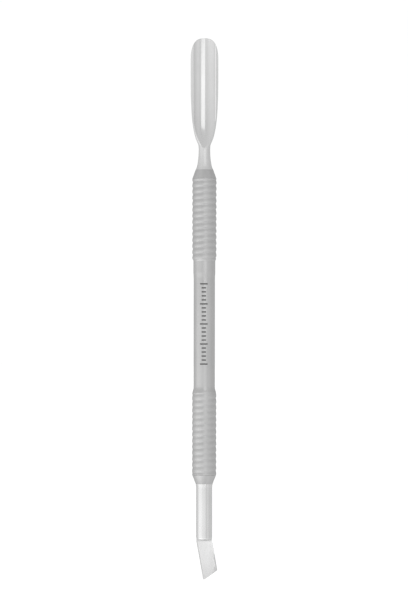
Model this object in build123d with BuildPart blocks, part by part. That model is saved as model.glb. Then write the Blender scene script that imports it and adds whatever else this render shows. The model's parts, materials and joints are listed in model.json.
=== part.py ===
from build123d import *
from math import cos, radians, sin, tan
import os

# Double-ended cuticle pusher: a hollow ribbed handle with a spoon at the top and a bent blade below.
# The tool stands along Z, in millimetres. The origin is on the axis at the middle of the smooth barrel,
# the spoon is at +Z, and the hollow of the spoon and the front of the blade face -Y.

# Handle tube
TUBE_TOP = 36.4
TUBE_BOTTOM = -37.8
CREST_RADIUS = 3.03         # over the ribs
GROOVE_RADIUS = 2.79        # bottom of the valley between ribs
RIB_PITCH = 1.51            # one right-hand start
RIB_LAND = 0.34             # width of the crest between two valleys
RUN_OUT_LENGTH = 0.78       # the valleys run on this far over the barrel
UPPER_END_LAND = 0.6        # from the tube's top end to the middle of the last valley
LOWER_END_LAND = 1.05       # from the tube's bottom end to the middle of the first valley
FLANK_SWELL = 0.03          # how far each flank's rounding stands over a straight slope
FLOOR_RISE = 0.03           # rise of the valley's rounded floor at its edges
FLANK_MIDDLE = 0.55         # share of the half valley where the flank is measured
VALLEY_FLOOR = 0.25         # share of the half valley that is its rounded floor
BARREL_RADIUS = 2.65
BARREL_HALF = 15.7          # the smooth barrel runs this far each way
COLLAR_RADIUS = 2.73        # plain collar under the upper grip
COLLAR_LENGTH = 2.4
COLLAR_TAPER = 1.9          # length over which the collar fades into the barrel
UPPER_SHOULDER = 0.8        # length of the rise from collar to upper ribs
LOWER_SHOULDER = 2.0        # length of the rise from barrel to lower ribs
BORE_RADIUS = 2.20
EDGE_BREAK = 0.08

# End cones, pressed into the tube
CONE_BASE_RADIUS = 2.95
CONE_LENGTH = 2.15
SPOON_MOUTH_RADIUS = 2.20
BLADE_MOUTH_RADIUS = 2.13
JOINT_GAP = 0.02            # radial gap where one piece sits in another
SPIGOT_RADIUS = BORE_RADIUS - JOINT_GAP
SPIGOT_LENGTH = 6.0
TANG_RADIUS = 1.25
TANG_BORE_RADIUS = TANG_RADIUS + JOINT_GAP
TANG_LENGTH = 6.5
BRAZE_LEG = 0.3             # leg of the filler's triangle in each countersink

# Spoon
NECK_RADIUS = 1.43
SPOON_TIP = 71.35
BOWL_HALF_WIDTH = 3.46
# The rounded end as seen from the front: distance from the middle, and distance below the tip.
END_OUTLINE = [(BOWL_HALF_WIDTH, 5.30), (3.33, 3.50), (3.09, 2.23), (2.60, 1.23), (1.85, 0.47), (0, 0)]
BOWL_BEND_START = 54.0      # above this the bowl curves gently to the front
BOWL_BEND_RADIUS = 120.0
BOWL_OVERRUN = 1.6          # the blank is this much longer than the finished spoon
HOLLOW_RADIUS = 3.75        # across the trough
HOLLOW_FLOOR = 0.85         # floor of the trough behind the centre line
RUN_OUT_RADIUS = 23.5       # the trough climbs out towards the neck along this arc
RIM_SETBACK = 0.35          # flat rims in front of the centre line
BOWL_SWEEP = 12.0           # degrees of the trough's arc above and below the bend's start
RUN_OUT_SWEEP = 55.0
CUTTER_REACH = 6.0

# Cross sections of the spoon blank, as height, half width, half depth: the flared root and neck,
# the widening from neck to bowl, and the bowl itself. Each group starts where the last one ends.
ROOT_SECTIONS = [
    (TUBE_TOP + CONE_LENGTH, SPOON_MOUTH_RADIUS - JOINT_GAP, SPOON_MOUTH_RADIUS - JOINT_GAP),
    (40.1, 1.73, 1.73),
    (42.1, 1.47, 1.47),
    (43.7, NECK_RADIUS, NECK_RADIUS),
]
WIDENING_SECTIONS = [
    (43.7, NECK_RADIUS, NECK_RADIUS),
    (45.0, 1.60, 1.43),
    (46.3, 2.13, 1.43),
    (47.6, 2.55, 1.42),
    (49.0, 2.84, 1.42),
    (50.5, 3.04, 1.41),
    (52.0, 3.18, 1.40),
    (BOWL_BEND_START, 3.31, 1.39),
]
BOWL_SECTIONS = [
    (BOWL_BEND_START, 3.31, 1.39),
    (58.0, 3.43, 1.36),
    (63.0, BOWL_HALF_WIDTH, 1.33),
    (68.0, 3.45, 1.28),
    (SPOON_TIP + BOWL_OVERRUN, 3.40, 1.22),
]

# Bent blade
SHANK_RADIUS = 2.00
SHANK_BOTTOM = -54.0
SHANK_FLARE = 0.95          # height of the small flare under the cone
SHANK_ROUNDING = 0.35       # rounding of the shank's end above the blade
FLARE_SWELL = 0.035         # the flare's height over the shank at its middle
BLADE_WIDTH = 3.90          # square to its own edges
BLADE_LEAN = 10.2           # degrees sideways, towards +X
BLADE_TILT = 8.0            # degrees forward, towards -Y
BLADE_BEND = -53.9          # height where the blade leaves the axis
BLADE_ROOT = -53.2          # the blade's root ends here, inside the shank
ROOT_HALF_WIDTH = 1.94
BEND_RADIUS = 6.0
BLADE_TIP = -63.95          # sharp corner of the outline, before its rounding
BLADE_TIP_X = -0.20
END_SLOPE = 34.7            # degrees of the skewed cutting end above the horizontal
ROOT_THICKNESS = 1.15
END_THICKNESS = 0.70
CORNER_RADIUS = 0.25
BEVEL_DEPTH = 0.45          # bevel of the cutting end, through the thickness
BEVEL_LENGTH = 1.10         # and along the back of the blade

os.makedirs("parts", exist_ok=True)


# Handle tube: turned profile, bore, and the ribbed grips as valleys cut along a helix.
with BuildPart() as handle_tube:
    with BuildSketch(Plane.XZ):
        with BuildLine():
            Polyline(
                (BORE_RADIUS + BRAZE_LEG, TUBE_BOTTOM),
                (CONE_BASE_RADIUS, TUBE_BOTTOM),
                (CREST_RADIUS, TUBE_BOTTOM + EDGE_BREAK),
                (CREST_RADIUS, -BARREL_HALF - LOWER_SHOULDER),
                (BARREL_RADIUS, -BARREL_HALF),
                (BARREL_RADIUS, BARREL_HALF - COLLAR_LENGTH - COLLAR_TAPER),
                (COLLAR_RADIUS, BARREL_HALF - COLLAR_LENGTH),
                (COLLAR_RADIUS, BARREL_HALF),
                (CREST_RADIUS, BARREL_HALF + UPPER_SHOULDER),
                (CREST_RADIUS, TUBE_TOP - EDGE_BREAK),
                (CONE_BASE_RADIUS, TUBE_TOP),
                (BORE_RADIUS + BRAZE_LEG, TUBE_TOP),
                (BORE_RADIUS, TUBE_TOP - BRAZE_LEG),
                (BORE_RADIUS, TUBE_BOTTOM + BRAZE_LEG),
                close=True,
            )
        make_face()
    revolve(axis=Axis.Z)

    # Each valley starts just inside the tube's end and runs out in the air over the slimmer barrel.
    half_valley = (RIB_PITCH - RIB_LAND) / 2
    run_out = BARREL_HALF - RUN_OUT_LENGTH
    upper_grip = (run_out, TUBE_TOP - UPPER_END_LAND)
    lower_grip = (TUBE_BOTTOM + LOWER_END_LAND, -run_out)
    flank_radius = (CREST_RADIUS + GROOVE_RADIUS) / 2 + FLANK_SWELL
    floor_radius = GROOVE_RADIUS + FLOOR_RISE
    outside = 2 * CREST_RADIUS - GROOVE_RADIUS
    flank = half_valley * FLANK_MIDDLE
    floor = half_valley * VALLEY_FLOOR
    for start, end in (upper_grip, lower_grip):
        with BuildLine(Plane.XY.offset(start)) as helix:
            Helix(pitch=RIB_PITCH, height=end - start, radius=GROOVE_RADIUS)
        with BuildSketch(Plane.XZ):
            with BuildLine():
                left = ThreePointArc(
                    (CREST_RADIUS, start - half_valley),
                    (flank_radius, start - flank),
                    (floor_radius, start - floor),
                )
                valley = ThreePointArc(
                    left @ 1,
                    (GROOVE_RADIUS, start),
                    (floor_radius, start + floor),
                )
                right = ThreePointArc(
                    valley @ 1,
                    (flank_radius, start + flank),
                    (CREST_RADIUS, start + half_valley),
                )
                Polyline(
                    right @ 1,
                    (outside, start + half_valley),
                    (outside, start - half_valley),
                    left @ 0,
                )
            make_face()
        sweep(path=helix.line, is_frenet=True, mode=Mode.SUBTRACT)
handle_tube.part.label = "handle_tube"


# End cones: a cone on a spigot that fits the tube's bore, bored through for the tip's tang.
def end_cone(tube_end, mouth_radius, direction):
    mouth = tube_end + direction * CONE_LENGTH
    spigot_end = tube_end - direction * SPIGOT_LENGTH
    with BuildPart() as cone:
        with BuildSketch(Plane.XZ):
            with BuildLine():
                Polyline(
                    (TANG_BORE_RADIUS, spigot_end),
                    (SPIGOT_RADIUS - EDGE_BREAK, spigot_end),
                    (SPIGOT_RADIUS, spigot_end + direction * EDGE_BREAK),
                    (SPIGOT_RADIUS, tube_end),
                    (CONE_BASE_RADIUS, tube_end),
                    (mouth_radius, mouth),
                    (TANG_BORE_RADIUS + BRAZE_LEG, mouth),
                    (TANG_BORE_RADIUS, mouth - direction * BRAZE_LEG),
                    close=True,
                )
            make_face()
        revolve(axis=Axis.Z)
    return cone


spoon_end_cone = end_cone(TUBE_TOP, SPOON_MOUTH_RADIUS, 1)
spoon_end_cone.part.label = "spoon_end_cone"

blade_end_cone = end_cone(TUBE_BOTTOM, BLADE_MOUTH_RADIUS, -1)
blade_end_cone.part.label = "blade_end_cone"


# Braze filler: a ring that fills a countersink between an inner round and its bore.
def braze_ring(face_height, inner_radius, bore_radius, direction):
    with BuildPart() as ring:
        with BuildSketch(Plane.XZ):
            with BuildLine():
                Polyline(
                    (inner_radius, face_height),
                    (bore_radius + BRAZE_LEG, face_height),
                    (bore_radius, face_height - direction * BRAZE_LEG),
                    (inner_radius, face_height - direction * BRAZE_LEG),
                    close=True,
                )
            make_face()
        revolve(axis=Axis.Z)
    return ring


spoon_cone_braze = braze_ring(TUBE_TOP, SPIGOT_RADIUS, BORE_RADIUS, 1)
spoon_cone_braze.part.label = "spoon_cone_braze"

blade_cone_braze = braze_ring(TUBE_BOTTOM, SPIGOT_RADIUS, BORE_RADIUS, -1)
blade_cone_braze.part.label = "blade_cone_braze"

spoon_tip_braze = braze_ring(TUBE_TOP + CONE_LENGTH, TANG_RADIUS, TANG_BORE_RADIUS, 1)
spoon_tip_braze.part.label = "spoon_tip_braze"

blade_tip_braze = braze_ring(TUBE_BOTTOM - CONE_LENGTH, TANG_RADIUS, TANG_BORE_RADIUS, -1)
blade_tip_braze.part.label = "blade_tip_braze"


# Spoon pusher: a lofted blank from the flared root to the tip, hollowed from the front.
with BuildPart() as spoon_pusher:
    for sections in (ROOT_SECTIONS, WIDENING_SECTIONS, BOWL_SECTIONS):
        for height, half_width, half_depth in sections:
            above_bend = max(0.0, height - BOWL_BEND_START)
            forward = above_bend**2 / (2 * BOWL_BEND_RADIUS)
            with BuildSketch(Plane(origin=(0, -forward, height))):
                Ellipse(half_width, half_depth)
        loft()

    # Rounded end, cut straight through from the front.
    with BuildSketch(Plane.XZ):
        with BuildLine():
            right_side = [(x, SPOON_TIP - drop) for x, drop in END_OUTLINE]
            left_side = [(-x, height) for x, height in reversed(right_side[:-1])]
            rounded_end = Spline(right_side + left_side, tangents=[(0, 1), (0, -1)])
            Polyline(
                rounded_end @ 1,
                (-CUTTER_REACH, SPOON_TIP - END_OUTLINE[0][1]),
                (-CUTTER_REACH, TUBE_TOP),
                (CUTTER_REACH, TUBE_TOP),
                (CUTTER_REACH, SPOON_TIP - END_OUTLINE[0][1]),
                rounded_end @ 0,
            )
        make_face()
    extrude(amount=CUTTER_REACH, both=True, mode=Mode.INTERSECT)

    # The trough: one round-bottomed cutter that follows the bowl's gentle bend upwards
    # and climbs out to the front of the neck below.
    for bend_radius, angle in ((BOWL_BEND_RADIUS, BOWL_SWEEP), (RUN_OUT_RADIUS, -RUN_OUT_SWEEP)):
        with BuildSketch(Plane.XY.offset(BOWL_BEND_START)):
            with Locations((0, HOLLOW_FLOOR - HOLLOW_RADIUS)):
                Circle(HOLLOW_RADIUS)
            with Locations((0, -(RIM_SETBACK + CUTTER_REACH) / 2)):
                Rectangle(2 * CUTTER_REACH, CUTTER_REACH - RIM_SETBACK)
        bend_axis = Axis((0, HOLLOW_FLOOR - bend_radius, BOWL_BEND_START), (1, 0, 0))
        revolve(axis=bend_axis, revolution_arc=angle, mode=Mode.SUBTRACT)

    # Tang that goes down into the cone.
    with BuildSketch(Plane.XY.offset(TUBE_TOP + CONE_LENGTH - TANG_LENGTH)):
        Circle(TANG_RADIUS)
    extrude(amount=TANG_LENGTH)
spoon_pusher.part.label = "spoon_pusher"


# The blade blank: its leaning outline from the front, cut to a tapering thickness from the side,
# with the cutting end bevelled from the back. Its root reaches up into the shank.
lean = tan(radians(BLADE_LEAN))
tilt = tan(radians(BLADE_TILT))
end_rise = tan(radians(END_SLOPE))
end_run = BLADE_WIDTH / cos(radians(BLADE_LEAN)) / (1 + lean * end_rise)
with BuildPart() as blade_blank:
    with BuildSketch(Plane.XZ):
        with BuildLine():
            Polyline(
                (-ROOT_HALF_WIDTH, BLADE_ROOT),
                (-ROOT_HALF_WIDTH, BLADE_TIP + (BLADE_TIP_X + ROOT_HALF_WIDTH) / lean),
                (BLADE_TIP_X, BLADE_TIP),
                (BLADE_TIP_X + end_run, BLADE_TIP + end_run * end_rise),
                (SHANK_RADIUS, SHANK_BOTTOM),
                (ROOT_HALF_WIDTH, SHANK_BOTTOM + SHANK_ROUNDING),
                (ROOT_HALF_WIDTH, BLADE_ROOT),
                close=True,
            )
        outline = make_face()
        fillet(outline.vertices().sort_by(Axis.Y)[:2], CORNER_RADIUS)
    extrude(amount=CUTTER_REACH, both=True)

    below_tip = BLADE_TIP - CORNER_RADIUS
    forward = tilt * (BLADE_BEND - below_tip)
    with BuildSketch(Plane.YZ):
        with BuildLine():
            Polyline(
                (-ROOT_THICKNESS / 2, BLADE_ROOT),
                (-ROOT_THICKNESS / 2, BLADE_BEND),
                (-forward - END_THICKNESS / 2, below_tip),
                (-forward + END_THICKNESS / 2, below_tip),
                (ROOT_THICKNESS / 2, BLADE_BEND),
                (ROOT_THICKNESS / 2, BLADE_ROOT),
                close=True,
            )
        profile = make_face()
        bend_corners = [v for v in profile.vertices() if abs(v.Y - BLADE_BEND) < 0.001]
        fillet(bend_corners, BEND_RADIUS)
    extrude(amount=CUTTER_REACH, both=True, mode=Mode.INTERSECT)

    # Bevel, drawn across the cutting end and run along it.
    slope_angle = radians(END_SLOPE)
    tilt_angle = radians(BLADE_TILT)
    through = Vector(0, cos(tilt_angle), -sin(tilt_angle))
    along = Vector(
        cos(slope_angle), sin(slope_angle) * sin(tilt_angle), sin(slope_angle) * cos(tilt_angle)
    )
    corner = (BLADE_TIP_X, -tilt * (BLADE_BEND - BLADE_TIP), BLADE_TIP)
    bevel_slope = BEVEL_DEPTH / BEVEL_LENGTH
    back = END_THICKNESS / 2
    with BuildSketch(Plane(origin=corner, x_dir=through, z_dir=along)):
        with BuildLine():
            Polyline(
                (back - BEVEL_DEPTH - bevel_slope, -1),
                (back + bevel_slope, BEVEL_LENGTH + 1),
                (back + CUTTER_REACH, BEVEL_LENGTH + 1),
                (back + CUTTER_REACH, -1),
                close=True,
            )
        make_face()
    extrude(amount=CUTTER_REACH, both=True, mode=Mode.SUBTRACT)


# Bent blade: a round shank with a tang, and the flat blade that it is ground down to.
with BuildPart() as bent_blade:
    mouth = TUBE_BOTTOM - CONE_LENGTH
    with BuildSketch(Plane.XZ):
        with BuildLine():
            top = Polyline(
                (0, mouth + TANG_LENGTH),
                (TANG_RADIUS, mouth + TANG_LENGTH),
                (TANG_RADIUS, mouth),
                (BLADE_MOUTH_RADIUS - JOINT_GAP, mouth),
            )
            flare = ThreePointArc(
                top @ 1,
                (SHANK_RADIUS + FLARE_SWELL, mouth - SHANK_FLARE / 2),
                (SHANK_RADIUS, mouth - SHANK_FLARE),
            )
            side = Line(flare @ 1, (SHANK_RADIUS, SHANK_BOTTOM + SHANK_ROUNDING))
            rounding = RadiusArc(
                side @ 1,
                (SHANK_RADIUS - SHANK_ROUNDING, SHANK_BOTTOM),
                SHANK_ROUNDING,
            )
            Polyline(rounding @ 1, (0, SHANK_BOTTOM), top @ 0)
        make_face()
    revolve(axis=Axis.Z)
    add(blade_blank.part)
bent_blade.part.label = "bent_blade"


for piece in (
    handle_tube,
    spoon_end_cone,
    blade_end_cone,
    spoon_cone_braze,
    blade_cone_braze,
    spoon_tip_braze,
    blade_tip_braze,
    spoon_pusher,
    bent_blade,
):
    print(piece.part.label, round(piece.part.volume, 2), piece.part.is_valid)
    export_step(piece.part, f"parts/{piece.part.label}.step")
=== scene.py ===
import json
import math

import bpy
import numpy as np
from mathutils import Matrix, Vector


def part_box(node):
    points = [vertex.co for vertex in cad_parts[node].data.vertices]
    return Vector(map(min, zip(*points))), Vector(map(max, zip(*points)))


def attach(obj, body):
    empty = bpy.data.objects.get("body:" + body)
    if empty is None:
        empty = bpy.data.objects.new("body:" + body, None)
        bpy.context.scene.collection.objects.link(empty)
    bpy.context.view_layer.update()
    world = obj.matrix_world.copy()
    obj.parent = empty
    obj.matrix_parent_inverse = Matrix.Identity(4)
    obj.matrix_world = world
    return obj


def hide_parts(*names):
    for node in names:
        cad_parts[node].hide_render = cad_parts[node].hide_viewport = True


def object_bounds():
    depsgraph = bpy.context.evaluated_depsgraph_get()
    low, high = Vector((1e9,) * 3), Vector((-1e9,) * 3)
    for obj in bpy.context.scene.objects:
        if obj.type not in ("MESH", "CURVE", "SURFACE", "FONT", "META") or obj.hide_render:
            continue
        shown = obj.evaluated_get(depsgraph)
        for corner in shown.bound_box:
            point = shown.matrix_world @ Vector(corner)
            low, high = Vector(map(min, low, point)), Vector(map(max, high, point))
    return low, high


# A double-ended cuticle pusher in steel: a blasted, ribbed handle with a polished spoon at the top
# and a polished bent blade at the bottom. Lengths are in millimetres until a mesh is made.

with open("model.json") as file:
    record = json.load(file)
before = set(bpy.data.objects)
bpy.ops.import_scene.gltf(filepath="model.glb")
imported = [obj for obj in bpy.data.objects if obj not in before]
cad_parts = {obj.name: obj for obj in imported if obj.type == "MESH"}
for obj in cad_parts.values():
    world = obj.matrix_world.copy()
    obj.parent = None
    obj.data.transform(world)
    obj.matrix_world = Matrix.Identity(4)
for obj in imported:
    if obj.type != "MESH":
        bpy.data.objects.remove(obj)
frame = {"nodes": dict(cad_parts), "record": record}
CAD_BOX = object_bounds()
MM = 0.001

# ---------------------------------------------------------------- sizes taken from the frame


def node_box(node):
    """Lowest and highest corner of a CAD node, in millimetres."""
    low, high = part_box(node)
    return low / MM, high / MM


TUBE_LOW, TUBE_HIGH = node_box("handle_tube")
SPOON_LOW, SPOON_HIGH = node_box("spoon_pusher")
BLADE_HIGH = node_box("bent_blade")[1]
SPOON_CONE_LOW, SPOON_CONE_HIGH = node_box("spoon_end_cone")
BLADE_CONE_LOW, BLADE_CONE_HIGH = node_box("blade_end_cone")
BARREL = next(m for m in frame["record"]["mounts"] if m["name"] == "barrel")

TUBE_TOP, TUBE_BOTTOM = TUBE_HIGH.z, TUBE_LOW.z
CREST = TUBE_HIGH.x - 0.005
BARREL_RADIUS = BARREL["dims"]["r_mm"]
SPOON_MOUTH = SPOON_CONE_HIGH.z
BLADE_MOUTH = BLADE_CONE_LOW.z

# ---------------------------------------------------------------- mesh helpers


def new_object(name, vertices, faces, sharp_angle=40.0):
    """A smooth-shaded mesh object from points in millimetres."""
    mesh = bpy.data.meshes.new(name)
    points = np.asarray(vertices, dtype=float) * MM
    mesh.from_pydata(points.tolist(), [], faces)
    mesh.validate()
    mesh.polygons.foreach_set("use_smooth", [True] * len(mesh.polygons))
    mesh.set_sharp_from_angle(angle=math.radians(sharp_angle))
    mesh.update()
    piece = bpy.data.objects.new(name, mesh)
    bpy.context.scene.collection.objects.link(piece)
    return piece


def grid_faces(rows, columns, wrap_rows=False):
    """Quads between successive rings of points. Each ring is closed."""
    faces = []
    last = rows if wrap_rows else rows - 1
    for row in range(last):
        upper = ((row + 1) % rows) * columns
        lower = row * columns
        for column in range(columns):
            after = (column + 1) % columns
            faces.append((lower + column, lower + after, upper + after, upper + column))
    return faces


def rounded_path(points, radius, steps=4):
    """A path in (radius, height) with each inner corner replaced by a short arc-like curve."""
    path = [np.array(points[0], float)]
    for before, here, after in zip(points, points[1:], points[2:]):
        here = np.array(here, float)
        to_before = np.array(before, float) - here
        to_after = np.array(after, float) - here
        length_before = np.linalg.norm(to_before)
        length_after = np.linalg.norm(to_after)
        cut = min(radius, 0.45 * length_before, 0.45 * length_after)
        start = here + to_before / length_before * cut
        end = here + to_after / length_after * cut
        for step in range(steps + 1):
            t = step / steps
            path.append((1 - t) ** 2 * start + 2 * t * (1 - t) * here + t**2 * end)
    path.append(np.array(points[-1], float))
    return path


def lathe(name, profile, segments=144):
    """A closed solid of revolution from a closed profile of (radius, height) points."""
    angles = np.linspace(0, 2 * math.pi, segments, endpoint=False)
    vertices = [
        (radius * math.cos(angle), radius * math.sin(angle), height)
        for radius, height in profile
        for angle in angles
    ]
    return new_object(name, vertices, grid_faces(len(profile), segments, wrap_rows=True))


def smooth_step(low, high, value):
    t = np.clip((value - low) / (high - low), 0.0, 1.0)
    return t * t * (3 - 2 * t)


def smooth_max(a, b, blend):
    """The larger of two surfaces, with a rounded crease about as wide as blend."""
    return 0.5 * (a + b + np.sqrt((a - b) ** 2 + blend**2))


def smooth_curve(stations, heights):
    """Monotone cubic curve through (height, value) stations, read at the given heights."""
    x = np.array([s[0] for s in stations], float)
    y = np.array([s[1] for s in stations], float)
    step = np.diff(x)
    slope = np.diff(y) / step
    tangent = np.zeros(len(x))
    tangent[0], tangent[-1] = slope[0], slope[-1]
    for i in range(1, len(x) - 1):
        if slope[i - 1] * slope[i] > 0:
            w1 = 2 * step[i] + step[i - 1]
            w2 = step[i] + 2 * step[i - 1]
            tangent[i] = (w1 + w2) / (w1 / slope[i - 1] + w2 / slope[i])
    heights = np.asarray(heights, float)
    i = np.clip(np.searchsorted(x, heights) - 1, 0, len(x) - 2)
    t = (heights - x[i]) / step[i]
    return (
        (2 * t**3 - 3 * t**2 + 1) * y[i]
        + (t**3 - 2 * t**2 + t) * step[i] * tangent[i]
        + (-2 * t**3 + 3 * t**2) * y[i + 1]
        + (t**3 - t**2) * step[i] * tangent[i + 1]
    )


# ---------------------------------------------------------------- handle tube

RIB_PITCH = 1.51
UPPER_RIB_DEPTH = 0.155
LOWER_RIB_DEPTH = 0.115
STEEP_FLANK = 0.34          # each valley is steep on its upper side and gentle below
GENTLE_FLANK = 0.90
UPPER_VALLEY = 15.09        # height of a valley's floor on the tool's right, in each grip
LOWER_VALLEY = -36.58
RIB_FADE = 0.7              # the valleys fade out over this length at the tube's ends
BARREL_HALF = 15.7
LOWER_SHOULDER = 2.0
UPPER_SHOULDER = 0.8
COLLAR_RADIUS = 2.73
COLLAR_START, COLLAR_FULL = 4.3, 2.6
BORE_RADIUS = 2.20
COUNTERSINK = 0.3
EDGE = 0.10
TUBE_SEGMENTS = 128
RIB_STEP, PLAIN_STEP = 0.075, 0.5


def tube_envelope(height):
    """Outer radius of the turned tube before its ribs are cut."""
    stations = (
        (TUBE_BOTTOM, CREST - EDGE),
        (TUBE_BOTTOM + EDGE, CREST),
        (-BARREL_HALF - LOWER_SHOULDER, CREST),
        (-BARREL_HALF - 1.5, CREST - 0.07),
        (-BARREL_HALF - 0.4, BARREL_RADIUS + 0.03),
        (-BARREL_HALF, BARREL_RADIUS),
        (BARREL_HALF - COLLAR_START, BARREL_RADIUS),
        (BARREL_HALF - COLLAR_FULL, COLLAR_RADIUS),
        (BARREL_HALF, COLLAR_RADIUS),
        (BARREL_HALF + UPPER_SHOULDER, CREST),
        (TUBE_TOP - EDGE, CREST),
        (TUBE_TOP, CREST - EDGE),
    )
    return smooth_curve(stations, height)


def rib_radius(height, angle, start, depth):
    """Radius of the helical ribs: a steep and a gentle flank rise from each valley."""
    turn = (height - start) / RIB_PITCH - angle / (2 * math.pi)
    from_valley = (turn - np.round(turn)) * RIB_PITCH
    flank = np.where(from_valley > 0, STEEP_FLANK, -GENTLE_FLANK)
    share = np.clip(from_valley / flank, 0.0, 1.0)
    return CREST - depth * (0.5 + 0.5 * np.cos(math.pi * share))


def tube_heights():
    """Ring heights along the tube: close together in the grips and collar, else far apart."""
    return np.concatenate(
        (
            np.arange(TUBE_BOTTOM, -BARREL_HALF + 0.2, RIB_STEP),
            np.arange(-BARREL_HALF + 0.3, BARREL_HALF - 4.6, PLAIN_STEP),
            np.arange(BARREL_HALF - 4.4, TUBE_TOP, RIB_STEP),
            [TUBE_TOP],
        )
    )


def outer_radius(height, angle):
    """Radius of the tube's ribbed outside."""
    # Each turn is cut a little deeper or shallower, as on a tool that was tumbled and blasted.
    uneven = 1 + 0.12 * np.sin(2.3 * height) * np.sin(0.9 * height + 2 * angle)
    top_fade = smooth_step(TUBE_TOP, TUBE_TOP - RIB_FADE, height)
    bottom_fade = smooth_step(TUBE_BOTTOM, TUBE_BOTTOM + RIB_FADE, height)
    end_fade = top_fade * bottom_fade
    depth = np.where(height > 0, UPPER_RIB_DEPTH, LOWER_RIB_DEPTH) * uneven * end_fade
    start = np.where(height > 0, UPPER_VALLEY, LOWER_VALLEY)
    return np.minimum(tube_envelope(height), rib_radius(height, angle, start, depth))


def tube_ring(radius, height, angles):
    """One ring of points. The radius is one number, or one for each angle."""
    heights = np.full(len(angles), height)
    return np.stack((radius * np.cos(angles), radius * np.sin(angles), heights), axis=1)


def handle_tube():
    heights = tube_heights()
    angles = np.linspace(0, 2 * math.pi, TUBE_SEGMENTS, endpoint=False)
    height, angle = np.meshgrid(heights, angles, indexing="ij")
    radius = outer_radius(height, angle)
    rings = [tube_ring(r, h, angles) for r, h in zip(radius, heights)]
    # Inside: the bore, with its countersinks at both ends.
    for bore_radius, bore_height in (
        (BORE_RADIUS + COUNTERSINK, TUBE_TOP),
        (BORE_RADIUS, TUBE_TOP - COUNTERSINK),
        (BORE_RADIUS, TUBE_BOTTOM + COUNTERSINK),
        (BORE_RADIUS + COUNTERSINK, TUBE_BOTTOM),
    ):
        rings.append(tube_ring(bore_radius, bore_height, angles))
    faces = grid_faces(len(rings), TUBE_SEGMENTS, wrap_rows=True)
    return new_object("handle_body", np.concatenate(rings), faces)


# ---------------------------------------------------------------- end cones

JOINT_GAP = 0.02
SPIGOT_RADIUS = BORE_RADIUS - JOINT_GAP
TANG_RADIUS = 1.25
TANG_BORE = TANG_RADIUS + JOINT_GAP
SPOON_MOUTH_RADIUS = 2.20
BLADE_MOUTH_RADIUS = 2.13
CONE_EDGE_IN, CONE_EDGE_UP = 0.01, 0.06
CONE_ROUNDING = 0.05


def end_cone(name, node_low, node_high, tube_end, direction):
    """The tapered end piece: cone outside the tube, spigot inside it, bored through."""
    base_radius = node_high.x
    mouth = node_high.z if direction > 0 else node_low.z
    spigot_end = node_low.z if direction > 0 else node_high.z
    mouth_radius = SPOON_MOUTH_RADIUS if direction > 0 else BLADE_MOUTH_RADIUS
    outer = rounded_path(
        (
            (SPIGOT_RADIUS, spigot_end),
            (SPIGOT_RADIUS, tube_end),
            (base_radius - CONE_EDGE_IN, tube_end),
            (base_radius, tube_end + direction * CONE_EDGE_UP),
            (mouth_radius, mouth),
            (TANG_BORE + COUNTERSINK, mouth),
            (TANG_BORE, mouth - direction * COUNTERSINK),
            (TANG_BORE, spigot_end),
        ),
        CONE_ROUNDING,
    )
    profile = outer if direction > 0 else outer[::-1]
    return lathe(name, profile)


# ---------------------------------------------------------------- spoon pusher

TIP_HEIGHT = 5.30           # length of the spoon's rounded end
TIP_ACROSS, TIP_ALONG = 2.8, 2.2  # powers of its flattened curve
TIP_ROWS = 60
BOW_LENGTH = 3.0            # the mesh rows start to bow this far below the rounded end
RUN_OUT_LOW, RUN_OUT_HIGH = 43.4, 54.2  # the rows stand closer where the hollow runs out
BOWL_LOW = 54.4
NECK_STEP, RUN_OUT_STEP, BOWL_STEP = 0.3, 0.11, 0.5
BEND_START = 54.0
BEND_RADIUS = 120.0
RUN_OUT_RADIUS = 23.5
HOLLOW_RADIUS = 3.75
HOLLOW_FLOOR = 0.85
RIM_SETBACK = 0.35
RIM_FALL = 0.2              # slope of the rims, which grows past the second distance
RIM_START, RIM_INNER_EDGE = 2.6, 2.75
CREASE_BLEND = 0.02         # rounding of the crease between rim and hollow
CREASE_STEP = 0.045         # spacing of the mesh columns beside the crease
INNER_COLUMNS = 26
OUTER_COLUMNS = 11
NECK_RADIUS = 1.43
SPOON_WIDTHS = (
    (SPOON_MOUTH, 2.18),
    (39.0, 1.98),
    (39.7, 1.78),
    (41.0, 1.58),
    (42.2, 1.465),
    (43.7, NECK_RADIUS),
    (44.5, 1.475),
    (45.0, 1.62),
    (45.5, 1.84),
    (46.5, 2.24),
    (48.0, 2.61),
    (49.5, 2.88),
    (51.0, 3.07),
    (52.5, 3.20),
    (54.0, 3.29),
    (57.0, 3.41),
    (60.0, 3.445),
    (63.0, 3.455),
    (73.0, 3.455),
)
SPOON_DEPTHS = (
    (SPOON_MOUTH, 2.18),
    (39.0, 1.98),
    (39.7, 1.78),
    (41.0, 1.58),
    (42.2, 1.465),
    (43.7, NECK_RADIUS),
    (54.0, 1.39),
    (63.0, 1.33),
    (73.0, 1.22),
)


def bend_reach(ring, height):
    """How far along Y a surface at this distance from a bend's centre line stands."""
    return np.sqrt(np.maximum(ring**2 - (height - BEND_START) ** 2, 0.0))


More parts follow.
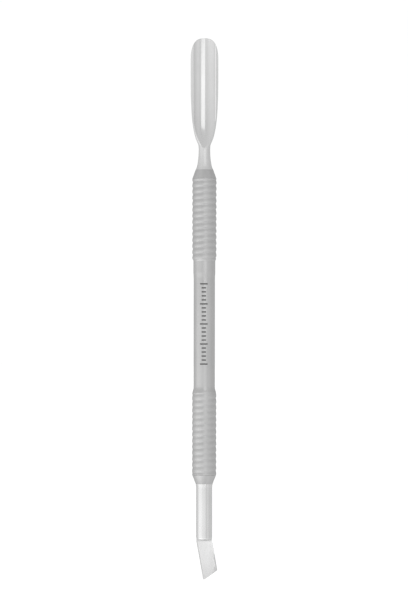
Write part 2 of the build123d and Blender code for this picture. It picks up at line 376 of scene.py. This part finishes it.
def hollow_and_blank(x, height):
    """The hollow, the blank's front with its rim surface, and the back, at outline points."""
    half_width = smooth_curve(SPOON_WIDTHS, height)
    half_depth = smooth_curve(SPOON_DEPTHS, height)
    middle = -np.maximum(height - BEND_START, 0.0) ** 2 / (2 * BEND_RADIUS)
    swell = half_depth * np.sqrt(np.maximum(1 - (x / half_width) ** 2, 0.0))
    bend = np.where(height > BEND_START, BEND_RADIUS, RUN_OUT_RADIUS)
    centre = HOLLOW_FLOOR - bend
    across = np.sqrt(np.maximum(HOLLOW_RADIUS**2 - x**2, 0.0))
    hollow = centre + bend_reach(bend - HOLLOW_RADIUS + across, height)
    # The rims are dressed: they fall away a little towards the outside.
    fall = RIM_FALL * np.maximum(np.abs(x) - RIM_START, 0.0)
    fall = fall + RIM_FALL * np.maximum(np.abs(x) - RIM_INNER_EDGE, 0.0) ** 2
    rim = centre + bend_reach(-RIM_SETBACK - centre, height) + fall
    return hollow, smooth_max(middle - swell, rim, CREASE_BLEND), middle + swell


def spoon_sides(x, height):
    """Front and back of the spoon at each point of its outline seen from the front."""
    hollow, blank_front, back = hollow_and_blank(x, height)
    return np.minimum(smooth_max(blank_front, hollow, CREASE_BLEND), back), back


def crease_at(height, half_width):
    """How far from the middle the hollow's edge lies at one height."""
    x = np.linspace(0.0, half_width * 0.999, 400)
    hollow, blank_front, _ = hollow_and_blank(x, np.full(len(x), height))
    inside = np.nonzero(hollow > blank_front)[0]
    return x[inside[-1]] if len(inside) else 0.0


def spoon_columns(half_width, crease):
    """Positions across the spoon, from edge to edge, with three close together at the crease."""
    inner = np.linspace(0.0, crease - CREASE_STEP, INNER_COLUMNS)
    turn = np.linspace(0.0, math.pi / 2, OUTER_COLUMNS)
    outer_start = crease + CREASE_STEP
    outer = outer_start + (half_width - outer_start) * np.sin(turn)
    side = np.concatenate((inner[1:], [crease], outer))
    return np.concatenate((-side[::-1], [0.0], side))


def spoon_ring(x, height, shrink=0.0):
    """One closed ring of points: along the back, then back along the front."""
    front, back = spoon_sides(x, height)
    middle = (front + back) / 2
    front = front + (middle - front) * shrink
    back = back + (middle - back) * shrink
    loop_back = np.stack((x, back, height), axis=1)
    loop_front = np.stack((x, front, height), axis=1)[::-1]
    return np.concatenate((loop_back, loop_front[1:-1]))


def spoon_rings():
    """All rings from the mouth of the cone to the rounded end."""
    tip_centre = SPOON_HIGH.z - TIP_HEIGHT
    straight_top = tip_centre - BOW_LENGTH
    levels = np.concatenate(
        (
            np.arange(SPOON_MOUTH, RUN_OUT_LOW, NECK_STEP),
            np.arange(RUN_OUT_LOW, RUN_OUT_HIGH, RUN_OUT_STEP),
            np.arange(BOWL_LOW, straight_top, BOWL_STEP),
            [straight_top],
        )
    )
    rings = []
    for level in levels:
        half_width = smooth_curve(SPOON_WIDTHS, [level])[0]
        crease = max(crease_at(level, half_width), 0.25 * half_width)
        x = spoon_columns(half_width, crease)
        rings.append(spoon_ring(x, np.full(len(x), level)))
    # Above the straight part the rows bow upwards until they follow the rounded end.
    start_half = smooth_curve(SPOON_WIDTHS, [straight_top])[0]
    start_x = spoon_columns(start_half, crease_at(straight_top, start_half))
    across = np.minimum(np.abs(start_x) / start_half, 1.0)
    top = tip_centre + TIP_HEIGHT * (1 - across**TIP_ACROSS) ** (1 / TIP_ALONG)
    for step in np.linspace(0, 1, TIP_ROWS + 1)[1:]:
        rings.append(spoon_ring(start_x, straight_top + step * (top - straight_top)))
    # The thin end wall closes with a small rounding.
    rings.pop()
    for shrink, inset in ((0.0, 0.10), (0.10, 0.045), (0.35, 0.012), (0.75, 0.0)):
        scale = (TIP_HEIGHT - inset) / TIP_HEIGHT
        rings.append(spoon_ring(start_x * scale, tip_centre + (top - tip_centre) * scale, shrink))
    return rings


def spoon_pusher():
    rings = spoon_rings()
    ring_size = len(rings[0])
    columns = ring_size // 2 + 1
    faces = grid_faces(len(rings), ring_size)
    # The last ring is zipped shut: back points face front points across the wall.
    first = (len(rings) - 1) * ring_size
    for column in range(columns - 1):
        back_here, back_next = first + column, first + column + 1
        front_here = first + (ring_size - column) % ring_size
        front_next = first + ring_size - column - 1
        quad = [back_here, back_next, front_next, front_here]
        faces.append(tuple(dict.fromkeys(quad)))
    # Root: down the tang and across its end.
    vertices = [tuple(p) for p in np.concatenate(rings)]
    root_angles = [math.atan2(y, x) for x, y, _ in rings[0]]
    lower = 0
    for radius, height in (
        (TANG_RADIUS + 0.05, SPOON_MOUTH),
        (TANG_RADIUS, SPOON_MOUTH - 0.05),
        (TANG_RADIUS, SPOON_LOW.z + EDGE),
        (TANG_RADIUS - EDGE, SPOON_LOW.z),
    ):
        base = len(vertices)
        for angle in root_angles:
            vertices.append((radius * math.cos(angle), radius * math.sin(angle), height))
        for column in range(ring_size):
            after = (column + 1) % ring_size
            faces.append((base + column, base + after, lower + after, lower + column))
        lower = base
    faces.append(tuple(lower + column for column in reversed(range(ring_size))))
    return new_object("spoon", vertices, faces, sharp_angle=35.0)


# ---------------------------------------------------------------- bent blade

SHANK_RADIUS = 2.00
SHANK_BOTTOM = -54.0
SHANK_ROUNDING = 0.40
SHOULDER_HEIGHT = 0.75
SHANK_SEGMENTS = 144
FLARE_HEIGHT = 0.95
FLARE_SWELL = 0.118
FLARE_POWER = 1.2
BLADE_LEAN = math.radians(10.2)
BLADE_TILT = math.radians(8.0)
BLADE_BEND = -53.9
BEND_BLEND = 0.8            # the bend is rounded over this length
BLADE_WIDTH = 3.90
BLADE_TIP = -63.95
BLADE_TIP_X = -0.20
END_SLOPE = math.radians(34.7)
ROOT_THICKNESS = 1.15
END_THICKNESS = 0.70
BEVEL_DEPTH = 0.45
BEVEL_LENGTH = 1.10


def shank_profile():
    """The shank from the end of its tang down: flare, plain length and rounded end."""
    flare_bottom = BLADE_MOUTH - FLARE_HEIGHT
    rounding_top = SHANK_BOTTOM + SHOULDER_HEIGHT
    curve_steps, plain_steps = 8, 40
    profile = [
        (TANG_RADIUS - EDGE, BLADE_HIGH.z),
        (TANG_RADIUS, BLADE_HIGH.z - EDGE),
        (TANG_RADIUS, BLADE_MOUTH + 0.04),
        (TANG_RADIUS + 0.04, BLADE_MOUTH),
        (SHANK_RADIUS + EDGE, BLADE_MOUTH),
        (SHANK_RADIUS + FLARE_SWELL, BLADE_MOUTH - 0.02),
    ]
    for step in range(1, curve_steps + 1):
        swell = FLARE_SWELL * (1 - step / curve_steps) ** FLARE_POWER
        profile.append((SHANK_RADIUS + swell, BLADE_MOUTH - FLARE_HEIGHT * step / curve_steps))
    for step in range(1, plain_steps):
        height = flare_bottom + (rounding_top - flare_bottom) * step / plain_steps
        profile.append((SHANK_RADIUS, height))
    for step in range(curve_steps + 1):
        turn = math.pi / 2 * step / curve_steps
        radius = SHANK_RADIUS - SHANK_ROUNDING * (1 - math.cos(turn))
        profile.append((radius, SHANK_BOTTOM + SHOULDER_HEIGHT * (1 - math.sin(turn))))
    profile.append((0.8, SHANK_BOTTOM))
    return profile


def shank():
    profile = shank_profile()
    angles = np.linspace(0, 2 * math.pi, SHANK_SEGMENTS, endpoint=False)
    vertices = [
        (radius * math.cos(angle), radius * math.sin(angle), height)
        for radius, height in profile
        for angle in angles
    ]
    faces = [tuple(reversed(f)) for f in grid_faces(len(profile), SHANK_SEGMENTS)]
    last = (len(profile) - 1) * SHANK_SEGMENTS
    faces.append(tuple(range(SHANK_SEGMENTS)))
    faces.append(tuple(last + k for k in reversed(range(SHANK_SEGMENTS))))
    return new_object("shank", vertices, faces)


CORNER_RADIUS = 0.25
CHAMFER_WIDTH = 0.30
CHAMFER_TOP, CHAMFER_FADE = 4.6, 1.6  # the facet ends here, and narrows over this length
CORNER_FACET, CORNER_REACH = 0.45, 0.9  # extra width at the end corner, and how far up it goes
CHAMFER_SLOPE = math.tan(math.radians(38))
SKEW = END_SLOPE - BLADE_LEAN
ALONG_END = np.array((math.cos(END_SLOPE), math.sin(END_SLOPE)))
FROM_END = np.array((-math.sin(END_SLOPE), math.cos(END_SLOPE)))
LOW_CORNER = np.array((BLADE_TIP_X, BLADE_TIP))
BLADE_ROOT = SHANK_BOTTOM + 0.8
ROOT_HALF = 1.94


def end_row(distance):
    """Left and right points of the blade's outline at a distance from its slanted end edge."""
    lift = CORNER_RADIUS - distance
    chord = math.sqrt(max(CORNER_RADIUS**2 - lift**2, 0.0)) if lift > -CORNER_RADIUS else 0.0
    left = distance * math.tan(SKEW)
    right = left + BLADE_WIDTH / math.cos(SKEW)
    inset = CORNER_RADIUS * math.tan(SKEW)
    if distance < CORNER_RADIUS * (1 + math.sin(SKEW)):
        left = inset + CORNER_RADIUS / math.cos(SKEW) - chord
    if distance < CORNER_RADIUS * (1 - math.sin(SKEW)):
        right = (BLADE_WIDTH - CORNER_RADIUS) / math.cos(SKEW) + inset + chord
    lift_off = distance * FROM_END
    return LOW_CORNER + left * ALONG_END + lift_off, LOW_CORNER + right * ALONG_END + lift_off


def walk(path, share):
    """The point at a share of the length of a path of straight runs."""
    lengths = [np.linalg.norm(b - a) for a, b in zip(path, path[1:])]
    left = share * sum(lengths)
    for start, end, length in zip(path, path[1:], lengths):
        if left <= length:
            return start + (end - start) * (left / length)
        left -= length
    return path[-1]


def blade_rows():
    """Pairs of outline points, from the end edge up to the root inside the shank."""
    turn = np.linspace(0, math.pi / 2, 9)
    corner = 2 * CORNER_RADIUS * (1 - np.cos(turn))
    distances = list(corner) + [0.65, 0.8, 0.95, BEVEL_LENGTH]
    rows = [end_row(distance) for distance in distances]
    lean = math.tan(BLADE_LEAN)
    left_start, right_start = rows[-1]
    reach = BLADE_WIDTH / math.cos(BLADE_LEAN) + BLADE_TIP_X
    left_bend = BLADE_TIP + (ROOT_HALF + BLADE_TIP_X) / lean
    right_bend = BLADE_TIP + (reach - ROOT_HALF) / lean
    left = [left_start, np.array((-ROOT_HALF, left_bend)), np.array((-ROOT_HALF, BLADE_ROOT))]
    right = [right_start, np.array((ROOT_HALF, right_bend)), np.array((ROOT_HALF, BLADE_ROOT))]
    count = 30
    rows += [(walk(left, k / count), walk(right, k / count)) for k in range(1, count + 1)]
    return rows


def from_right_edge(point):
    """Distance of a point of the blade's face from the straight line of its right edge."""
    reach = BLADE_TIP_X + BLADE_WIDTH / math.cos(BLADE_LEAN)
    edge_x = reach - math.tan(BLADE_LEAN) * (point[1] - BLADE_TIP)
    return (edge_x - point[0]) * math.cos(BLADE_LEAN)


def chamfer_width(point):
    """Width of the ground facet beside the right edge: widest at the end corner."""
    corner = LOW_CORNER + BLADE_WIDTH / math.cos(SKEW) * ALONG_END
    up = (point[1] - corner[1]) / math.cos(BLADE_LEAN)
    along = CHAMFER_WIDTH * min(1.0, max(0.0, (CHAMFER_TOP - up) / CHAMFER_FADE))
    return max(0.02, along + CORNER_FACET * max(0.0, 1 - up / CORNER_REACH))


def blade_through(point):
    """Front and back of the blade at a point of its outline seen from the front."""
    x, height = point
    down = max(0.0, BLADE_BEND + BEND_BLEND / 2 - height)
    bend = down**2 / (2 * BEND_BLEND) if down < BEND_BLEND else down - BEND_BLEND / 2
    middle = -math.tan(BLADE_TILT) * bend
    share = min(1.0, max(0.0, (BLADE_BEND - height) / (BLADE_BEND - BLADE_TIP)))
    half = (ROOT_THICKNESS + (END_THICKNESS - ROOT_THICKNESS) * share) / 2
    to_end = float(np.dot(np.array(point) - LOW_CORNER, FROM_END))
    bevel = BEVEL_DEPTH * max(0.0, 1 - to_end / BEVEL_LENGTH)
    facet = CHAMFER_SLOPE * max(0.0, chamfer_width(point) - from_right_edge(point))
    return middle - half + facet, middle + half - bevel


def flat_blade():
    """The blade blank: a front and a back grid joined round the outline."""
    plain_columns = 14
    rows = []
    for left, right in blade_rows():
        width = from_right_edge(left) - from_right_edge(right)
        facet = min(0.5, max(0.004, (chamfer_width(right) - from_right_edge(right)) / width))
        shares = list(np.linspace(0, 1 - facet, plain_columns)) + [1 - facet / 2, 1.0]
        rows.append([left + (right - left) * share for share in shares])
    columns = plain_columns + 2
    vertices = []
    for side in (0, 1):
        for row in rows:
            vertices.extend((p[0], blade_through(p)[side], p[1]) for p in row)
    back = len(rows) * columns

    faces = []
    for row in range(len(rows) - 1):
        for column in range(columns - 1):
            here = row * columns + column
            quad = (here, here + 1, here + columns + 1, here + columns)
            faces.append(quad)
            faces.append(tuple(back + i for i in reversed(quad)))
    # The wall follows the outline once round.
    last = (len(rows) - 1) * columns
    outline = list(range(columns))
    outline += [row * columns + columns - 1 for row in range(1, len(rows))]
    outline += list(range(last + columns - 2, last - 1, -1))
    outline += [row * columns for row in range(len(rows) - 2, 0, -1)]
    for here, after in zip(outline, outline[1:] + outline[:1]):
        faces.append((after, here, here + back, after + back))
    blank = new_object("blade_blank", vertices, faces, sharp_angle=35.0)
    soften = blank.modifiers.new("edges", "BEVEL")
    soften.limit_method = "ANGLE"
    soften.angle_limit = math.radians(35)
    soften.width = 0.035 * MM
    soften.segments = 2
    soften.use_clamp_overlap = True
    return blank


def bent_blade():
    body = shank()
    blank = flat_blade()
    depsgraph = bpy.context.evaluated_depsgraph_get()
    solid = bpy.data.meshes.new_from_object(blank.evaluated_get(depsgraph))
    blank.modifiers.clear()
    blank.data = solid
    union = body.modifiers.new("blade", "BOOLEAN")
    union.operation = "UNION"
    union.solver = "EXACT"
    union.object = blank
    depsgraph = bpy.context.evaluated_depsgraph_get()
    mesh = bpy.data.meshes.new_from_object(body.evaluated_get(depsgraph))
    mesh.name = "blade"
    mesh.polygons.foreach_set("use_smooth", [True] * len(mesh.polygons))
    mesh.set_sharp_from_angle(angle=math.radians(40))
    piece = bpy.data.objects.new("blade", mesh)
    bpy.context.scene.collection.objects.link(piece)
    bpy.data.objects.remove(body)
    bpy.data.objects.remove(blank)
    return piece


# ---------------------------------------------------------------- etched scale on the barrel

SCALE_HEIGHTS = (-10.0, 10.0)
SCALE_OFFSET = -0.12        # the scale stands a little left of the middle
TICK_STEP = 1.0
TICK_WIDTH = 0.34
TICK_PROUD, TICK_SUNK = 0.006, 0.02
LONG_TICK_HALF, SHORT_TICK_HALF = 0.95, 0.55


def etched_scale():
    """A plain millimetre scale on the front of the barrel, every fifth tick longer."""
    vertices, faces = [], []
    radius = BARREL_RADIUS + TICK_PROUD
    steps = 10

    def patch(half_length, low, high):
        base = len(vertices)
        for step in range(steps + 1):
            x = SCALE_OFFSET + half_length * (2 * step / steps - 1)
            y = -math.sqrt(radius**2 - x**2)
            inner = (BARREL_RADIUS - TICK_SUNK) / radius
            inner_x, inner_y = x * inner, y * inner
            vertices.extend(((x, y, low), (x, y, high)))
            vertices.extend(((inner_x, inner_y, high), (inner_x, inner_y, low)))
        for step in range(steps):
            here, after = base + 4 * step, base + 4 * (step + 1)
            for side in range(4):
                turn = (side + 1) % 4
                faces.append((here + side, after + side, after + turn, here + turn))
        faces.append(tuple(base + side for side in range(4)))
        faces.append(tuple(base + 4 * steps + side for side in reversed(range(4))))

    count = int(round((SCALE_HEIGHTS[1] - SCALE_HEIGHTS[0]) / TICK_STEP))
    for tick in range(count + 1):
        middle = SCALE_HEIGHTS[0] + tick * TICK_STEP
        half = LONG_TICK_HALF if tick % 5 == 0 else SHORT_TICK_HALF
        patch(half, middle - TICK_WIDTH / 2, middle + TICK_WIDTH / 2)
    return new_object("etched_scale", vertices, faces)


# ---------------------------------------------------------------- materials


class Shader:
    """A small helper that adds nodes to one material and links them."""

    def __init__(self, name, metallic, base_color, roughness):
        self.material = bpy.data.materials.new(name)
        self.material.use_nodes = True
        self.tree = self.material.node_tree
        self.surface = self.tree.nodes["Principled BSDF"]
        self.surface.inputs["Metallic"].default_value = metallic
        self.surface.inputs["Base Color"].default_value = (*base_color, 1)
        self.surface.inputs["Roughness"].default_value = roughness
        self.coordinates = self.tree.nodes.new("ShaderNodeTexCoord").outputs["Object"]

    def link(self, output, target):
        self.tree.links.new(output, target)

    def noise(self, scale, detail=3.0, roughness=0.55, distortion=0.0):
        """Noise whose scale is in features per millimetre along X, Y and Z."""
        mapping = self.tree.nodes.new("ShaderNodeMapping")
        mapping.inputs["Scale"].default_value = [s / MM for s in scale]
        self.link(self.coordinates, mapping.inputs["Vector"])
        noise = self.tree.nodes.new("ShaderNodeTexNoise")
        noise.inputs["Scale"].default_value = 1.0
        noise.inputs["Detail"].default_value = detail
        noise.inputs["Roughness"].default_value = roughness
        noise.inputs["Distortion"].default_value = distortion
        self.link(mapping.outputs["Vector"], noise.inputs["Vector"])
        return noise.outputs["Fac"]

    def remap(self, value, low, high, to_low, to_high):
        node = self.tree.nodes.new("ShaderNodeMapRange")
        node.inputs["From Min"].default_value = low
        node.inputs["From Max"].default_value = high
        node.inputs["To Min"].default_value = to_low
        node.inputs["To Max"].default_value = to_high
        self.link(value, node.inputs["Value"])
        return node.outputs["Result"]

    def math(self, operation, a, b):
        node = self.tree.nodes.new("ShaderNodeMath")
        node.operation = operation
        for socket, value in zip(node.inputs, (a, b)):
            if isinstance(value, (int, float)):
                socket.default_value = value
            else:
                self.link(value, socket)
        return node.outputs["Value"]

    def grey_mix(self, factor, dark, light):
        node = self.tree.nodes.new("ShaderNodeMix")
        node.data_type = "RGBA"
        self.link(factor, node.inputs["Factor"])
        node.inputs["A"].default_value = (*dark, 1)
        node.inputs["B"].default_value = (*light, 1)
        return node.outputs["Result"]

    def radius(self):
        """Distance from the tool's axis, in millimetres."""
        split = self.tree.nodes.new("ShaderNodeSeparateXYZ")
        self.link(self.coordinates, split.inputs["Vector"])
        x2 = self.math("MULTIPLY", split.outputs["X"], split.outputs["X"])
        y2 = self.math("MULTIPLY", split.outputs["Y"], split.outputs["Y"])
        root = self.math("SQRT", self.math("ADD", x2, y2), 0.0)
        return self.math("DIVIDE", root, MM)

    def height(self):
        """Height along the tool, in millimetres."""
        split = self.tree.nodes.new("ShaderNodeSeparateXYZ")
        self.link(self.coordinates, split.inputs["Vector"])
        return self.math("DIVIDE", split.outputs["Z"], MM)

    def bump(self, height, strength, distance):
        node = self.tree.nodes.new("ShaderNodeBump")
        node.inputs["Strength"].default_value = strength
        node.inputs["Distance"].default_value = distance * MM
        self.link(height, node.inputs["Height"])
        self.link(node.outputs["Normal"], self.surface.inputs["Normal"])


SATIN_DARK, SATIN_LIGHT = (0.43, 0.43, 0.43), (0.52, 0.52, 0.52)
POLISHED = (0.63, 0.63, 0.63)


def satin_steel(name, crest_wear_and_sheen):
    """Bead-blasted steel: a fine even grain, with the rib crests painted a little brighter, partly
    as wear and partly as a painted highlight.
    """
    steel = Shader(name, 1.0, SATIN_DARK, 0.42)
    grain = steel.noise((9.0, 9.0, 9.0), detail=4.0, roughness=0.7)
    cloud = steel.noise((0.25, 0.25, 0.12), detail=3.0)
    grain_tone = steel.remap(grain, 0.3, 0.7, 0.0, 0.45)
    tone = steel.math("ADD", grain_tone, steel.remap(cloud, 0.3, 0.7, 0.0, 0.4))
    # Painted highlight: the base colour lightens towards the crest radius, partly wear and partly
    # the shine the ribs catch from the light.
    if crest_wear_and_sheen:
        crest_wear_and_sheen_tone = steel.remap(steel.radius(), CREST - 0.12, CREST, 0.0, 0.15)
        tone = steel.math("ADD", tone, crest_wear_and_sheen_tone)
    steel.link(steel.grey_mix(tone, SATIN_DARK, SATIN_LIGHT), steel.surface.inputs["Base Color"])
    grain_rough = steel.remap(grain, 0.3, 0.7, 0.30, 0.38)
    rough = steel.math("ADD", grain_rough, steel.remap(cloud, 0.3, 0.7, -0.03, 0.03))
    if crest_wear_and_sheen:
        # The ribs are duller than the barrel and its collar, which stay inside this radius.
        ribbed = steel.remap(steel.radius(), COLLAR_RADIUS + 0.02, COLLAR_RADIUS + 0.12, 0.0, 0.10)
        rough = steel.math("ADD", rough, ribbed)
    steel.link(rough, steel.surface.inputs["Roughness"])
    steel.bump(grain, 0.25, 0.010)
    return steel.material


def polished_steel(name, stretch, brushed=None):
    """Polished steel with faint buffing lines along the tool, only brushed between two heights."""
    steel = Shader(name, 1.0, POLISHED, 0.15)
    lines = steel.noise(stretch, detail=4.0, roughness=0.6)
    smudge = steel.noise((0.35, 0.35, 0.2), detail=2.0)
    line_rough = steel.remap(lines, 0.3, 0.7, 0.10, 0.16)
    rough = steel.math("ADD", line_rough, steel.remap(smudge, 0.35, 0.7, 0.0, 0.05))
    if brushed:
        rough = steel.math("ADD", rough, steel.remap(steel.height(), *brushed, 0.30, 0.0))
    steel.link(rough, steel.surface.inputs["Roughness"])
    tone = steel.remap(smudge, 0.3, 0.7, 0.0, 1.0)
    darker = tuple(c * 0.96 for c in POLISHED)
    steel.link(steel.grey_mix(tone, POLISHED, darker), steel.surface.inputs["Base Color"])
    steel.bump(lines, 0.12, 0.004)
    return steel.material


def etched_oxide():
    """The dark oxide that a marking laser leaves."""
    mark = Shader("etched_oxide", 0.6, (0.09, 0.09, 0.09), 0.5)
    speckle = mark.noise((7.0, 7.0, 7.0), detail=3.0)
    share = mark.remap(speckle, 0.35, 0.7, 0.0, 1.0)
    tone = mark.grey_mix(share, (0.07, 0.07, 0.07), (0.14, 0.14, 0.14))
    mark.link(tone, mark.surface.inputs["Base Color"])
    mark.link(mark.remap(speckle, 0.3, 0.7, 0.42, 0.6), mark.surface.inputs["Roughness"])
    return mark.material


def braze_filler():
    """Dull silver filler, slightly rippled where it froze."""
    filler = Shader("braze_filler", 1.0, (0.62, 0.61, 0.57), 0.35)
    ripple = filler.noise((2.5, 2.5, 2.5), detail=2.0, distortion=0.6)
    filler.link(filler.remap(ripple, 0.3, 0.7, 0.28, 0.45), filler.surface.inputs["Roughness"])
    filler.link(
        filler.grey_mix(ripple, (0.55, 0.54, 0.50), (0.68, 0.67, 0.63)),
        filler.surface.inputs["Base Color"],
    )
    filler.bump(ripple, 0.3, 0.02)
    return filler.material


# ---------------------------------------------------------------- assembly


def dress(piece, material, slot, *nodes):
    """Gives a piece its material, hangs it on the root body and hides the CAD nodes it stands for.
    """
    piece.data.materials.clear()
    piece.data.materials.append(material)
    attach(piece, "root")
    if nodes:
        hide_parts(*nodes)


RIBBED_SATIN = satin_steel("satin_steel_ribbed", crest_wear_and_sheen=True)
PLAIN_SATIN = satin_steel("satin_steel_plain", crest_wear_and_sheen=False)
SPOON_STEEL = polished_steel("polished_spoon", (6.0, 6.0, 0.12), brushed=(44.0, 49.0))
BLADE_STEEL = polished_steel("polished_blade", (6.0, 6.0, 0.12))
BRAZE = braze_filler()

dress(handle_tube(), RIBBED_SATIN, "satin_steel", "handle_tube")
dress(
    end_cone("spoon_cone", SPOON_CONE_LOW, SPOON_CONE_HIGH, TUBE_TOP, 1),
    PLAIN_SATIN,
    "satin_steel",
    "spoon_end_cone",
)
dress(
    end_cone("blade_cone", BLADE_CONE_LOW, BLADE_CONE_HIGH, TUBE_BOTTOM, -1),
    PLAIN_SATIN,
    "satin_steel",
    "blade_end_cone",
)
dress(spoon_pusher(), SPOON_STEEL, "polished_steel", "spoon_pusher")
dress(bent_blade(), BLADE_STEEL, "polished_steel", "bent_blade")
dress(etched_scale(), etched_oxide(), "etched_mark")

for node in ("spoon_tip_braze", "blade_tip_braze", "spoon_cone_braze", "blade_cone_braze"):
    ring = frame["nodes"][node]
    ring.data.materials.clear()
    ring.data.materials.append(BRAZE)

# ---------------------------------------------------------------- floor, light and camera

FLOOR_DROP = 0.055          # the tool hangs this far above the floor, in metres
FLOOR_HALF = 6.0
LOWEST = CAD_BOX[0].z


def floor():
    height = LOWEST - FLOOR_DROP
    mesh = bpy.data.meshes.new("floor")
    sides = ((-1, -1), (1, -1), (1, 1), (-1, 1))
    corners = [(sx * FLOOR_HALF, sy * FLOOR_HALF, height) for sx, sy in sides]
    mesh.from_pydata(corners, [], [(0, 1, 2, 3)])
    piece = bpy.data.objects.new("floor", mesh)
    bpy.context.scene.collection.objects.link(piece)
    # The metal mirrors the studio's own light from below instead of this plane.
    piece.visible_glossy = False
    piece.visible_shadow = False
    pale = bpy.data.materials.new("pale_floor")
    pale.use_nodes = True
    surface = pale.node_tree.nodes["Principled BSDF"]
    surface.inputs["Base Color"].default_value = (0.93, 0.93, 0.93, 1)
    surface.inputs["Roughness"].default_value = 0.9
    surface.inputs["Specular IOR Level"].default_value = 0.0
    surface.inputs["Emission Color"].default_value = (1, 1, 1, 1)
    surface.inputs["Emission Strength"].default_value = 0.35
    mesh.materials.append(pale)


def softbox(name, place, width, height, radiance, target=(0.0, 0.0, 0.0)):
    """A rectangular soft light that faces a point of the tool. Its size and place are in metres."""
    data = bpy.data.lights.new(name, "AREA")
    data.shape = "RECTANGLE"
    data.size, data.size_y = width, height
    data.energy = radiance * math.pi * width * height
    lamp = bpy.data.objects.new(name, data)
    lamp.location = place
    away = Vector(place) - Vector(target)
    lamp.rotation_euler = away.to_track_quat("Z", "Y").to_euler()
    lamp.visible_camera = False
    bpy.context.scene.collection.objects.link(lamp)


# How bright the studio is all round: degrees from the front, positive to the right, and strength.
SURROUND = (
    (-180, 0.45),
    (-145, 0.78),
    (-100, 1.00),
    (-50, 1.06),
    (-10, 0.93),
    (20, 0.84),
    (50, 0.98),
    (90, 0.82),
    (118, 0.86),
    (150, 0.64),
    (180, 0.45),
)


def studio_world():
    """A white studio, dimmer on the right and behind the tool, and plain white to the camera."""
    world = bpy.data.worlds.new("studio")
    world.use_nodes = True
    tree = world.node_tree
    tree.nodes.clear()
    output = tree.nodes.new("ShaderNodeOutputWorld")
    mix = tree.nodes.new("ShaderNodeMixShader")
    seen = tree.nodes.new("ShaderNodeBackground")
    seen.inputs["Color"].default_value = (1, 1, 1, 1)
    seen.inputs["Strength"].default_value = 1.02
    around = tree.nodes.new("ShaderNodeBackground")
    path = tree.nodes.new("ShaderNodeLightPath")
    direction = tree.nodes.new("ShaderNodeTexCoord")
    split = tree.nodes.new("ShaderNodeSeparateXYZ")
    forward = tree.nodes.new("ShaderNodeMath")
    forward.operation = "MULTIPLY"
    forward.inputs[1].default_value = -1.0
    azimuth = tree.nodes.new("ShaderNodeMath")
    azimuth.operation = "ARCTAN2"
    share = tree.nodes.new("ShaderNodeMapRange")
    share.inputs["From Min"].default_value = -math.pi
    share.inputs["From Max"].default_value = math.pi
    ramp = tree.nodes.new("ShaderNodeValToRGB")
    ramp.color_ramp.interpolation = "EASE"
    for _ in range(len(SURROUND) - 2):
        ramp.color_ramp.elements.new(0.5)
    for element, (degrees, strength) in zip(ramp.color_ramp.elements, SURROUND):
        element.position = (degrees + 180) / 360
        element.color = (strength, strength, strength, 1)
    tree.links.new(direction.outputs["Generated"], split.inputs["Vector"])
    tree.links.new(split.outputs["Y"], forward.inputs[0])
    tree.links.new(split.outputs["X"], azimuth.inputs[0])
    tree.links.new(forward.outputs["Value"], azimuth.inputs[1])
    tree.links.new(azimuth.outputs["Value"], share.inputs["Value"])
    tree.links.new(share.outputs["Result"], ramp.inputs["Fac"])
    lift = tree.nodes.new("ShaderNodeMapRange")
    lift.interpolation_type = "SMOOTHSTEP"
    lift.inputs["From Min"].default_value = -0.6
    lift.inputs["From Max"].default_value = 0.6
    lift.inputs["To Min"].default_value = 1.12
    lift.inputs["To Max"].default_value = 0.90
    tree.links.new(split.outputs["Z"], lift.inputs["Value"])
    tree.links.new(lift.outputs["Result"], around.inputs["Strength"])
    tree.links.new(ramp.outputs["Color"], around.inputs["Color"])
    tree.links.new(path.outputs["Is Camera Ray"], mix.inputs["Fac"])
    tree.links.new(around.outputs["Background"], mix.inputs[1])
    tree.links.new(seen.outputs["Background"], mix.inputs[2])
    tree.links.new(mix.outputs["Shader"], output.inputs["Surface"])
    bpy.context.scene.world = world


LENS, SENSOR = 200.0, 36.0
FRAME_HEIGHT = 0.1525       # metres that the picture is tall, at the tool
FRAME_CENTRE = (-0.000075, 0.004725)
CAMERA_ROLL = math.radians(-0.05)


def camera():
    """A long lens looking straight at the front, framed as a tall product picture."""
    distance = LENS * FRAME_HEIGHT / SENSOR
    data = bpy.data.cameras.new("camera")
    data.lens, data.sensor_width = LENS, SENSOR
    data.clip_start, data.clip_end = 0.05, 50.0
    piece = bpy.data.objects.new("camera", data)
    piece.location = (FRAME_CENTRE[0], -distance, FRAME_CENTRE[1])
    piece.rotation_euler = (math.radians(90), CAMERA_ROLL, 0)
    bpy.context.scene.collection.objects.link(piece)
    bpy.context.scene.camera = piece


floor()
studio_world()
softbox("strip", (0.074, -0.35, 0.12), 0.20, 0.25, 0.62, (0.074, 0.0, 0.12))
softbox("left_box", (-0.302, -0.262, -0.195), 0.27, 0.37, 0.33, (0.0, 0.0, -0.195))
softbox("left_side", (-0.39, -0.076, -0.165), 0.17, 0.37, 0.34, (0.0, 0.0, -0.165))
softbox("low_front", (-0.02, -0.40, -0.15), 0.42, 0.22, 0.28, (0.0, 0.0, -0.10))
softbox("low_key", (-0.236, -0.409, -0.369), 1.4, 0.08, 0.6)
camera()
bpy.context.scene.view_settings.view_transform = "Standard"
